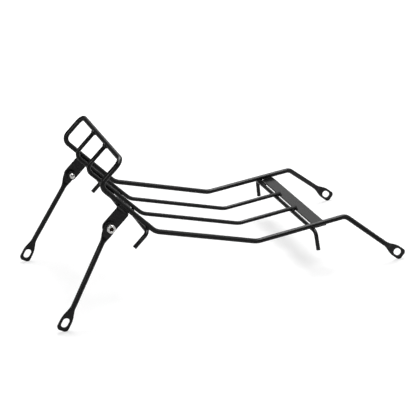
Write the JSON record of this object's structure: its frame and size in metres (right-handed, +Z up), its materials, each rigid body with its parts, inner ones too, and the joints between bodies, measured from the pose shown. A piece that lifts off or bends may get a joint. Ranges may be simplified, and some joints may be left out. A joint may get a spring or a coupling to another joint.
{
  "type": "motorcycle center rack",
  "caption": "Black round-bar rack that bolts over the middle of a motorcycle, with a leaning front hoop, lashing pegs, slotted rear lugs and bolted front stays.",
  "frame": {"origin": "middle of the footprint, on the surface that the two stay feet and the two rear lugs stand on", "axes": "+X from the hooped front end to the rear lugs, +Y to the rider's right, +Z up as the rack stands on its four ends"},
  "size_m": [0.5704, 0.2844, 0.2453],
  "materials": {
    "powder_coat": "satin black powder coat",
    "zinc_steel": "bright zinc plated"
  },
  "bodies": {
    "rack": {"outer_rail": "powder_coat", "middle_rod_left": "powder_coat", "middle_rod_right": "powder_coat", "front_cross_rod": "powder_coat", "rear_cross_rod": "powder_coat", "front_bracket": "powder_coat", "rear_plate": "powder_coat", "stay_screw_left": "zinc_steel", "stay_screw_right": "zinc_steel", "stay_nut_left": "powder_coat", "stay_nut_right": "powder_coat"},
    "stay_left": {"stay_left": "powder_coat"},
    "stay_right": {"stay_right": "powder_coat"}
  },
  "joints": [
    {"name": "stay_left_pivot", "type": "hinge", "parent": "rack", "child": "stay_left", "pos_m": [-0.1873, -0.12445, 0.14531], "axis": [0, 1, 0], "range_deg": [-60, 60]},
    {"name": "stay_right_pivot", "type": "hinge", "parent": "rack", "child": "stay_right", "pos_m": [-0.1873, 0.12445, 0.14531], "axis": [0, 1, 0], "range_deg": [-60, 60]}
  ]
}
